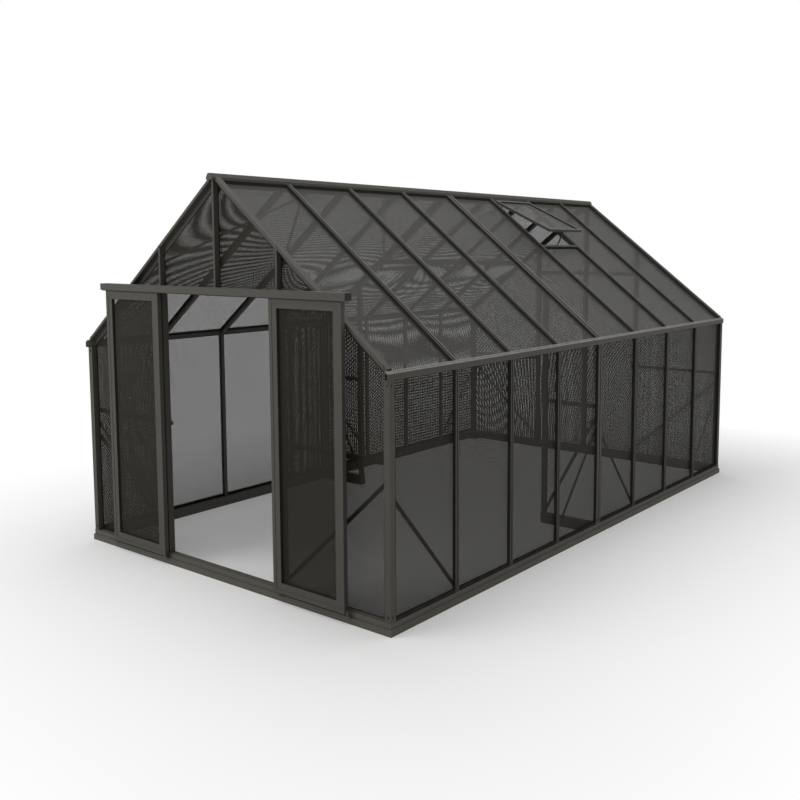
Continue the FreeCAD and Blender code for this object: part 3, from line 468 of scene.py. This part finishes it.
def shade_mesh(cloth):
    """Knitted shade mesh: tapes each way with square holes between them. The tape is darker towards its holes
    as painted shade, and paler where it looks up as painted light from above.
    """
    coat = Coat("shade_mesh")
    flat = coat.node("ShaderNodeUVMap", {"uv_map": SHEET_MAP}, {})
    cells = coat.stretched(flat, (1.0 / cloth.hole_pitch, 1.0 / cloth.hole_pitch, 1.0))
    across, along = [coat.part(cells, axis).from_cell_middle() for axis in ("X", "Y")]
    from_hole = across.largest(along)
    half_hole = 0.5 * math.sqrt(cloth.open_share)
    rise = from_hole * 2.0
    wear = coat.noise(coat.place(), scale=5.0, detail=4.0)
    facing_up = coat.facing_up()
    # The tape is darker towards its holes: painted shade on its rounded relief
    tape = coat.shades(rise, cloth.tape_colour, dark=0.7, light=1.2)
    worn = coat.blend(wear * 0.4, tape, shade_of(cloth.tape_colour, 0.8))
    # Faces that look up take the paler colour: painted light from above
    coat.set(Base_Color=coat.blend(facing_up * facing_up * (0.8 + 0.4 * wear), worn, cloth.faded_colour),
             Roughness=0.5 + 0.2 * (1.0 - rise),
             Specular_IOR_Level=0.12,
             Alpha=from_hole.above(half_hole),
             Normal=coat.bump(rise, depth=0.0004, strength=0.6))
    return coat.material


def studio_floor(studio):
    """Pale paint with the house's shadow, which turns white away from the house."""
    coat = Coat("studio_floor")
    place = coat.place()
    beyond = []
    for axis, low, high in zip("XY", *CAD_BOX):
        middle = (low + high) / 2
        half = (high - low) / 2
        beyond.append((abs(coat.part(place, axis) - middle) - half).largest(0.0))
    distance = (beyond[0] * beyond[0] + beyond[1] * beyond[1]) ** 0.5
    fade = coat.node("ShaderNodeMapRange", {}, {"Value": distance, "From Max": studio.fade_end,
                                                "To Min": studio.floor_glow})
    white = fade * coat.seen_directly()
    scuff = coat.noise(place, scale=3.0, detail=4.0)
    paint = coat.shades(scuff, studio.floor_colour, dark=0.99, light=1.01)
    coat.set(Base_Color=coat.blend(white, paint, BLACK),
             Emission_Color=coat.blend(white, BLACK, WHITE),
             Emission_Strength=1.0,
             Roughness=0.9,
             Specular_IOR_Level=0.0)
    return coat.material


def material_of(make, settings):
    """The material that a function of the same name makes, made only once."""
    return bpy.data.materials.get(make.__name__) or make(settings)


def paint_node(node, material):
    piece = frame["nodes"][node]
    piece.data.materials.clear()
    piece.data.materials.append(material)


def nodes_in_slot(*slots):
    found = [node for node, slot in SLOT_OF.items() if slot in slots]
    if not found:
        raise RuntimeError("no node has the slots %s" % ", ".join(slots))
    return found


def coat_of(node):
    """Which powder coat a bar of the frame has, by its place in the house."""
    # The eave beams' coat carries a painted highlight on their upward faces
    if node.endswith("_eave_beam"):
        return weathered_coat
    if node.startswith("base_"):
        return splashed_coat
    return filmed_coat if node in INNER_LIT_BARS else powder_coat


def link_object(name, data):
    made = bpy.data.objects.new(name, data)
    bpy.context.scene.collection.objects.link(made)
    return made


def make_piece(shape, name, material):
    """Turns a finished shape into an object of one material."""
    data = bpy.data.meshes.new(name)
    shape.to_mesh(data)
    shape.free()
    data.materials.append(material)
    return link_object(name, data)


def fit_trim(shape, name, body, material):
    """Turns a finished shape into a thin piece of trim that rides on a body."""
    bmesh.ops.recalc_face_normals(shape, faces=shape.faces)
    piece = make_piece(shape, name, material)
    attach(piece, body)


def for_each_solid(node, describe):
    """What a function says of the faces of each separate solid in a node's mesh."""
    piece = frame["nodes"][node]
    solids = bmesh.new()
    solids.from_mesh(piece.data)
    solids.transform(piece.matrix_world)
    bmesh.ops.remove_doubles(solids, verts=solids.verts, dist=MERGE_DISTANCE)
    solids.normal_update()
    seen = set()
    answers = []
    for first in solids.faces:
        if first in seen:
            continue
        seen.add(first)
        group = [first]
        # The group grows by its neighbours while it is read
        for face in group:
            for edge in face.edges:
                for other in edge.link_faces:
                    if other not in seen:
                        seen.add(other)
                        group.append(other)
        answers.append(describe(group))
    solids.free()
    return answers


def plate_of(faces, outward):
    """The outline of a flat plate's larger side, set back to its middle, and the plate's outward normal."""
    areas = {face: face.calc_area() for face in faces}
    least = SAME_SIZE * max(areas.values())
    largest = max((face for face in faces if areas[face] >= least), key=lambda face: face.normal.dot(outward))
    normal = largest.normal.copy()
    side = [face for face in faces if face.normal.dot(normal) > SAME_FACING]
    level = largest.verts[0].co.dot(normal)
    depth = max(level - vert.co.dot(normal) for face in faces for vert in face.verts)
    follows = {}
    for face in side:
        for loop in face.loops:
            if sum(other in side for other in loop.edge.link_faces) == 1:
                follows[loop.vert] = loop.link_loop_next.vert
    start = next(iter(follows))
    ring = [start]
    while follows[ring[-1]] is not start:
        ring.append(follows[ring[-1]])
    outline = [vert.co - normal * (depth / 2) for vert in ring]
    return outline, normal if normal.dot(outward) > 0 else -normal


def plates_of(node, outward):
    """The plates in a node's mesh, each as its outline and its outward normal."""
    plates = for_each_solid(node, lambda faces: plate_of(faces, outward))
    if not plates:
        raise RuntimeError("%s has no plates" % node)
    return plates


def bar_faces(node, outward, along):
    """The outer face of every bar in a node: its level, and its limits along the house and along the bar."""

    def outer_face(faces):
        points = [vert.co.copy() for face in faces for vert in face.verts]
        level = max(point.dot(outward) for point in points)
        points = [point for point in points if point.dot(outward) > level - FACE_TOLERANCE]
        return level, *limits(points, ALONG_HOUSE), *limits(points, along)

    return for_each_solid(node, outer_face)


def limits(points, direction):
    levels = [point.dot(direction) for point in points]
    return min(levels), max(levels)


def span(points, direction):
    low, high = limits(points, direction)
    return high - low


def without_straight_points(ring):
    kept = []
    for index, point in enumerate(ring):
        before = (point - ring[index - 1]).normalized()
        after = (ring[(index + 1) % len(ring)] - point).normalized()
        if before.dot(after) < STRAIGHT_ON:
            kept.append(point)
    return kept


def edge_distance(point, ring):
    least = math.inf
    for index, corner in enumerate(ring):
        line = ring[index - 1] - corner
        share = max(0.0, min(1.0, (point - corner).dot(line) / line.length_squared))
        least = min(least, (corner + line * share - point).length)
    return least


def up_along(outward):
    """The direction that leads upwards in a plane."""
    return (UP - outward * UP.dot(outward)).normalized()


def cut_grid(ring, outward, directions, spacing):
    """A face across a ring, cut into a grid along two directions."""
    sheet = bmesh.new()
    outline = sheet.faces.new([sheet.verts.new(point) for point in ring])
    sheet.normal_update()
    if outline.normal.dot(outward) < 0:
        bmesh.ops.reverse_faces(sheet, faces=[outline])
    for direction in directions:
        low, high = limits(ring, direction)
        count = max(2, round((high - low) / spacing))
        for step in range(1, count):
            level = low + (high - low) * step / count
            bmesh.ops.bisect_plane(sheet, geom=sheet.verts[:] + sheet.edges[:] + sheet.faces[:],
                                   plane_co=direction * level, plane_no=direction, dist=CUT_TOLERANCE)
    return sheet


def stretch_sheet(name, ring, outward, hang, cloth, knit):
    """One taut sheet across a bay, clamped along its edges, with its flat size and its area."""
    ring = without_straight_points(ring)
    upward = up_along(outward)
    sideways = upward.cross(outward)
    sheet = cut_grid(ring, outward, (sideways, upward), cloth.grid)
    metres = sheet.loops.layers.uv.new(SHEET_MAP)
    for face in sheet.faces:
        face.smooth = True
        for loop in face.loops:
            loop[metres].uv = (loop.vert.co.dot(sideways) / knit, loop.vert.co.dot(upward) / knit)
    reach = max(edge_distance(vert.co, ring) for vert in sheet.verts)
    for vert in sheet.verts:
        inside = min(1.0, edge_distance(vert.co, ring) / reach)
        slack = math.sin(inside * math.pi / 2)
        ripple = noise.noise(vert.co * RIPPLE_SCALE) * cloth.wall_wave
        vert.co -= outward * (slack * (hang + ripple))
    width = span(ring, sideways)
    length = span(ring, upward)
    area = sum(face.calc_area() for face in sheet.faces)
    piece = make_piece(sheet, name, material_of(shade_mesh, cloth))
    return piece, (width, length), min(area, width * length)


def hang_sheets(node, body, prefix, outward, hang, order, knit=1.0):
    """A taut sheet for every plate of a node, numbered along a direction."""
    cloth = bpy.context.scene.shade_house_mesh
    plates = plates_of(node, outward)
    plates.sort(key=lambda plate: sum(point.dot(order) for point in plate[0]) / len(plate[0]))
    for number, (ring, normal) in enumerate(plates, 1):
        name = prefix if len(plates) == 1 else "%s_%d" % (prefix, number)
        piece, flat, area = stretch_sheet(name, ring, normal, hang, cloth, knit)
        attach(piece, body)
        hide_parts(node)


def offset_ring(ring, normal, distances):
    """The ring with each edge moved inwards by its own distance."""
    lines = []
    for index, point in enumerate(ring):
        along = (ring[(index + 1) % len(ring)] - point).normalized()
        inward = normal.cross(along)
        lines.append((point + inward * distances[index], along, inward))
    moved = []
    for index in range(len(ring)):
        corner, along, _ = lines[index - 1]
        other, _, inward = lines[index]
        moved.append(corner + along * ((other - corner).dot(inward) / along.dot(inward)))
    return moved


def edge_kinds(ring, normal):
    """Tells for each edge of a bay whether it is its foot, its head or a side."""
    upward = up_along(normal)
    middle = sum(point.dot(upward) for point in ring) / len(ring)
    kinds = []
    for index, point in enumerate(ring):
        following = ring[(index + 1) % len(ring)]
        along = (following - point).normalized()
        if abs(along.dot(upward)) > UPRIGHT:
            kinds.append("side")
        else:
            kinds.append("head" if (point + following).dot(upward) / 2 > middle else "foot")
    return kinds


def seal_rings(ring, normal, reach, lip, widths, wedge):
    """Rings of points round a bay's seal: a wedge on the mesh, and a lip that lies on the edge of the bar."""
    ring = without_straight_points(ring)
    area = sum((ring[index - 1].cross(point) for index, point in enumerate(ring)), Vector())
    if area.dot(normal) < 0:
        ring = ring[::-1]
    kinds = edge_kinds(ring, normal)
    foot = offset_ring(ring, normal, [widths[kind] + wedge for kind in kinds])
    inner = offset_ring(ring, normal, [widths[kind] for kind in kinds])
    outer = offset_ring(ring, normal, [-FLUSH] * len(ring))
    top = reach + lip
    section = ((ring, 0.0), (foot, 0.0), (inner, top), (outer, top), (outer, reach), (ring, reach))
    return [[point + normal * height for point in points] for points, height in section]


def bridge_rings(shape, rings, closed):
    """Faces between each ring of vertices and the next, and from the last to the first where closed."""
    pairs = list(zip(rings, rings[1:]))
    if closed:
        pairs.append((rings[-1], rings[0]))
    for ring, following in pairs:
        for corner in range(len(ring)):
            after = (corner + 1) % len(ring)
            shape.faces.new((ring[corner], ring[after], following[after], following[corner]))


def fit_seals(node, body, name, outward, reach, widths, wedge=0.0):
    """One piece of black rubber round every bay of a node's mesh, its black also standing in for the shade in
    the bay's recess.
    """
    finish = bpy.context.scene.shade_house_frame
    seal = bmesh.new()
    for ring, normal in plates_of(node, outward):
        rings = seal_rings(ring, normal, reach, finish.seal_lip, widths, wedge)
        bridge_rings(seal, [[seal.verts.new(point) for point in points] for points in rings], closed=True)
    fit_trim(seal, name, body, material_of(seal_rubber, finish))


def lay_strips(node, name, outward, width, material, at_back_edge=False):
    """One piece of thin strips along the bars of a node, on the middle or back edge of their outer faces."""
    rise = bpy.context.scene.shade_house_frame.strip_rise
    along = ALONG_HOUSE.cross(outward)
    strips = bmesh.new()
    for level, front, back, low, high in bar_faces(node, outward, along):
        middle = back - width / 2 if at_back_edge else (front + back) / 2
        section = [outward * (level + height * rise) + ALONG_HOUSE * (middle + share * width)
                   for share, height in STRIP_SECTION]
        ends = [[strips.verts.new(point + along * end) for point in section] for end in (low, high)]
        strips.faces.new(ends[0][::-1])
        strips.faces.new(ends[1])
        bridge_rings(strips, ends, closed=False)
    fit_trim(strips, name, "house", material)


class SHADEHOUSE_OT_coat_frame(bpy.types.Operator):
    """Give every bar of the frame its satin powder coat"""

    bl_idname = "shadehouse.coat_frame"
    bl_label = "Coat the Frame"

    def execute(self, context):
        for node in nodes_in_slot("frame"):
            paint_node(node, material_of(coat_of(node), context.scene.shade_house_frame))
        return {"FINISHED"}


class SHADEHOUSE_OT_plate_fixings(bpy.types.Operator):
    """Give bolts, hinge rods, hangers and vent stays their dark plated steel"""

    bl_idname = "shadehouse.plate_fixings"
    bl_label = "Plate the Fixings"

    def execute(self, context):
        for node in nodes_in_slot("fixings"):
            paint_node(node, material_of(dark_plated_steel, context.scene.shade_house_frame))
        return {"FINISHED"}


class SHADEHOUSE_OT_mould_plastics(bpy.types.Operator):
    """Give the door rollers and the end caps their moulded plastic"""

    bl_idname = "shadehouse.mould_plastics"
    bl_label = "Mould Rollers and Caps"

    def execute(self, context):
        for node in nodes_in_slot("roller", "end_cap"):
            paint_node(node, material_of(moulded_plastic, context.scene.shade_house_frame))
        return {"FINISHED"}


class SHADEHOUSE_OT_hang_walls(bpy.types.Operator):
    """Stretch one sheet of mesh across each bay of the two side walls"""

    bl_idname = "shadehouse.hang_walls"
    bl_label = "Hang Wall Mesh"

    def execute(self, context):
        knits = {"left": context.scene.shade_house_mesh.left_knit, "right": 1.0}
        for side, outward in SIDES:
            hang_sheets(side + "_wall_mesh", "house", side + "_wall_sheet", outward, 0.0,
                        ALONG_HOUSE, knits[side])
        return {"FINISHED"}


class SHADEHOUSE_OT_hang_roof(bpy.types.Operator):
    """Stretch one sheet of mesh across each bay of the two roof slopes"""

    bl_idname = "shadehouse.hang_roof"
    bl_label = "Hang Roof Mesh"

    def execute(self, context):
        cloth = context.scene.shade_house_mesh
        knits = {"left": cloth.coarse_knit, "right": 1.0}
        for side, _ in SIDES:
            hang_sheets(side + "_roof_mesh", "house", side + "_roof_sheet", UP, cloth.roof_sag,
                        ALONG_HOUSE, knits[side])
        return {"FINISHED"}


class SHADEHOUSE_OT_hang_gables(bpy.types.Operator):
    """Stretch one sheet of mesh across each bay of the two gables"""

    bl_idname = "shadehouse.hang_gables"
    bl_label = "Hang Gable Mesh"

    def execute(self, context):
        hang_sheets("front_gable_mesh", "house", "front_gable_sheet", OUT_OF_FRONT, 0.0,
                    ACROSS_HOUSE)
        hang_sheets("back_gable_mesh", "house", "back_gable_sheet", OUT_OF_BACK, 0.0,
                    ACROSS_HOUSE,
                    context.scene.shade_house_mesh.coarse_knit)
        return {"FINISHED"}


class SHADEHOUSE_OT_fill_doors(bpy.types.Operator):
    """Stretch the mesh in the two sliding doors"""

    bl_idname = "shadehouse.fill_doors"
    bl_label = "Fill the Doors"

    def execute(self, context):
        for door in DOORS:
            hang_sheets(door + "_mesh", door, door + "_sheet", OUT_OF_FRONT, 0.0,
                        ACROSS_HOUSE, context.scene.shade_house_mesh.door_knit)
        return {"FINISHED"}


class SHADEHOUSE_OT_fill_vent(bpy.types.Operator):
    """Stretch the mesh in the roof vent"""

    bl_idname = "shadehouse.fill_vent"
    bl_label = "Fill the Vent"

    def execute(self, context):
        sag = context.scene.shade_house_mesh.roof_sag
        hang_sheets("roof_vent_mesh", "roof_vent", "roof_vent_sheet", UP, sag,
                    ALONG_HOUSE)
        return {"FINISHED"}


class SHADEHOUSE_OT_fit_seals(bpy.types.Operator):
    """Press black rubber seals round the mesh of every bay, door and vent"""

    bl_idname = "shadehouse.fit_seals"
    bl_label = "Fit the Seals"

    def execute(self, context):
        finish = context.scene.shade_house_frame
        width = finish.seal_width
        slim = {"side": width, "head": width, "foot": width}
        # Wall bays get a tall black seal at their foot, also standing in for the shade there
        high_foot = {"side": width, "head": width, "foot": finish.foot_seal}
        flush_head = {"side": width, "head": FLUSH, "foot": width}
        for side, outward in SIDES:
            fit_seals(side + "_wall_mesh", "house", side + "_wall_seals", outward, SEAL_REACH["wall"],
                      high_foot)
            fit_seals(side + "_roof_mesh", "house", side + "_roof_seals", UP, SEAL_REACH["roof"], slim,
                      finish.roof_wedge)
        for end, outward in ENDS:
            fit_seals(end + "_gable_mesh", "house", end + "_gable_seals", outward, SEAL_REACH["gable"],
                      flush_head)
        for door in DOORS:
            fit_seals(door + "_mesh", door, door + "_seal", OUT_OF_FRONT, SEAL_REACH["door"], slim)
        fit_seals("roof_vent_mesh", "roof_vent", "roof_vent_seal", UP, SEAL_REACH["vent"], slim)
        return {"FINISHED"}


class SHADEHOUSE_OT_lay_strips(bpy.types.Operator):
    """Press a rubber strip into every stud and fit each rafter's rubber cap, their black also standing in for
    the shade in the bars' grooves, and lay a pale strip along each rafter's back edge as a painted highlight
    """

    bl_idname = "shadehouse.lay_strips"
    bl_label = "Lay the Bar Strips"

    def execute(self, context):
        finish = context.scene.shade_house_frame
        rubber = material_of(seal_rubber, finish)
        pale = material_of(weathered_coat, finish)
        for side, outward in SIDES:
            # Rubber strips, their black also standing in for the shade in the studs' grooves
            lay_strips(side + "_wall_studs", side + "_stud_strips", outward, finish.strip_width, rubber)
            _, slope = plates_of(side + "_roof_mesh", UP)[0]
            # Rubber caps, their black also standing in for the shade in the rafters' grooves
            lay_strips(side + "_rafters", side + "_rafter_caps", slope, finish.cap_width, rubber)
            # Pale strips on the rafters' back edges: a painted highlight
            lay_strips(side + "_rafters", side + "_rafter_drips", slope, finish.drip_width, pale,
                       at_back_edge=True)
        return {"FINISHED"}


class SHADEHOUSE_OT_hang_brush(bpy.types.Operator):
    """Hang a thin brush under the front lip of the door track, down to the doors' top edges"""

    bl_idname = "shadehouse.hang_brush"
    bl_label = "Hang the Track Brush"

    def execute(self, context):
        rubber = material_of(seal_rubber, context.scene.shade_house_frame)
        low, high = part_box("door_track")
        door_top = max(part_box(door + "_frame")[1][2] for door in DOORS)
        if door_top >= low[2]:
            raise RuntimeError("the doors leave no gap for a brush under their track")
        brush = bmesh.new()
        bmesh.ops.create_cube(brush, size=1.0)
        size = Vector((high[0] - low[0] - 2 * BRUSH_END, BRUSH_DEPTH, low[2] - door_top - BRUSH_CLEARANCE))
        middle = Vector(((low[0] + high[0]) / 2, low[1] + BRUSH_DEPTH, low[2] - size.z / 2))
        brush.transform(Matrix.LocRotScale(middle, None, size))
        fit_trim(brush, "track_brush", "house", rubber)
        return {"FINISHED"}


class SHADEHOUSE_OT_set_stage(bpy.types.Operator):
    """Lay the floor, hang the lamps and stand the camera at the photograph's angle"""

    bl_idname = "shadehouse.set_stage"
    bl_label = "Set the Stage"

    def execute(self, context):
        studio = context.scene.shade_house_studio
        self.lay_floor(studio)
        for name, power, sides, place, target in SOFTBOXES:
            self.hang_lamp(name, getattr(studio, power), sides, place, target)
        context.scene.world = self.light_sky(studio)
        context.scene.camera = self.stand_camera(studio)
        context.scene.view_settings.view_transform = "Standard"
        return {"FINISHED"}

    def lay_floor(self, studio):
        half = FLOOR_HALF
        data = bpy.data.meshes.new("studio_floor")
        corners = [(-half, -half, 0), (half, -half, 0), (half, half, 0), (-half, half, 0)]
        data.from_pydata(corners, [], [(0, 1, 2, 3)])
        data.materials.append(material_of(studio_floor, studio))
        floor = link_object("studio_floor", data)
        floor.location.z = -FLOOR_DROP

    def hang_lamp(self, name, power, sides, place, target):
        data = bpy.data.lights.new(name, "AREA")
        data.shape = "RECTANGLE"
        data.size, data.size_y = sides
        data.energy = power
        lamp = link_object(name, data)
        aim = Vector(target) - Vector(place)
        lamp.matrix_world = Matrix.Translation(place) @ aim.to_track_quat("-Z", "Y").to_matrix().to_4x4()
        lamp.visible_camera = False

    def light_sky(self, studio):
        """A white sky that gives less light than it shows."""
        world = bpy.data.worlds.new("studio_sky")
        world.use_nodes = True
        sky = Graph(world.node_tree, "Background")
        level = sky.node("ShaderNodeMapRange", {}, {"Value": sky.seen_directly(), "To Min": studio.sky_light})
        sky.set(Color=WHITE, Strength=level)
        return world

    def stand_camera(self, studio):
        data = bpy.data.cameras.new("photo_camera")
        data.sensor_width = SENSOR_WIDTH
        data.lens = studio.lens
        data.shift_x, data.shift_y = CAMERA_SHIFT
        camera = link_object("photo_camera", data)
        turn = Matrix()
        for angle, axis in CAMERA_TURNS:
            turn = turn @ Matrix.Rotation(angle, 4, axis)
        camera.matrix_world = Matrix.Translation(CAMERA_PLACE) @ turn
        return camera


class SHADEHOUSE_PT_dresser(bpy.types.Panel):
    """Lists the dressing steps in the 3D view's sidebar"""

    bl_idname = "SHADEHOUSE_PT_dresser"
    bl_label = "Shade House"
    bl_space_type = "VIEW_3D"
    bl_region_type = "UI"
    bl_category = "Shade House"

    def draw(self, context):
        scene = context.scene
        for step in STEPS:
            self.layout.operator(step.bl_idname)
        for group in (scene.shade_house_frame, scene.shade_house_mesh, scene.shade_house_studio):
            box = self.layout.box()
            for name in group.bl_rna.properties.keys():
                if name not in ("rna_type", "name"):
                    box.prop(group, name)


STEPS = (
    SHADEHOUSE_OT_coat_frame,
    SHADEHOUSE_OT_plate_fixings,
    SHADEHOUSE_OT_mould_plastics,
    SHADEHOUSE_OT_hang_walls,
    SHADEHOUSE_OT_hang_roof,
    SHADEHOUSE_OT_hang_gables,
    SHADEHOUSE_OT_fill_doors,
    SHADEHOUSE_OT_fill_vent,
    SHADEHOUSE_OT_fit_seals,
    SHADEHOUSE_OT_lay_strips,
    SHADEHOUSE_OT_hang_brush,
    SHADEHOUSE_OT_set_stage,
)
GROUPS = (FrameFinish, MeshCloth, Studio)


def register():
    for group in GROUPS:
        bpy.utils.register_class(group)
    bpy.types.Scene.shade_house_frame = PointerProperty(type=FrameFinish)
    bpy.types.Scene.shade_house_mesh = PointerProperty(type=MeshCloth)
    bpy.types.Scene.shade_house_studio = PointerProperty(type=Studio)
    for step in STEPS:
        bpy.utils.register_class(step)
    bpy.utils.register_class(SHADEHOUSE_PT_dresser)


def unregister():
    bpy.utils.unregister_class(SHADEHOUSE_PT_dresser)
    for step in reversed(STEPS):
        bpy.utils.unregister_class(step)
    del bpy.types.Scene.shade_house_studio
    del bpy.types.Scene.shade_house_mesh
    del bpy.types.Scene.shade_house_frame
    for group in reversed(GROUPS):
        bpy.utils.unregister_class(group)


def main():
    register()
    bpy.ops.shadehouse.coat_frame()
    bpy.ops.shadehouse.plate_fixings()
    bpy.ops.shadehouse.mould_plastics()
    bpy.ops.shadehouse.hang_walls()
    bpy.ops.shadehouse.hang_roof()
    bpy.ops.shadehouse.hang_gables()
    bpy.ops.shadehouse.fill_doors()
    bpy.ops.shadehouse.fill_vent()
    bpy.ops.shadehouse.fit_seals()
    bpy.ops.shadehouse.lay_strips()
    bpy.ops.shadehouse.hang_brush()
    bpy.ops.shadehouse.set_stage()


if __name__ == "__main__":
    main()
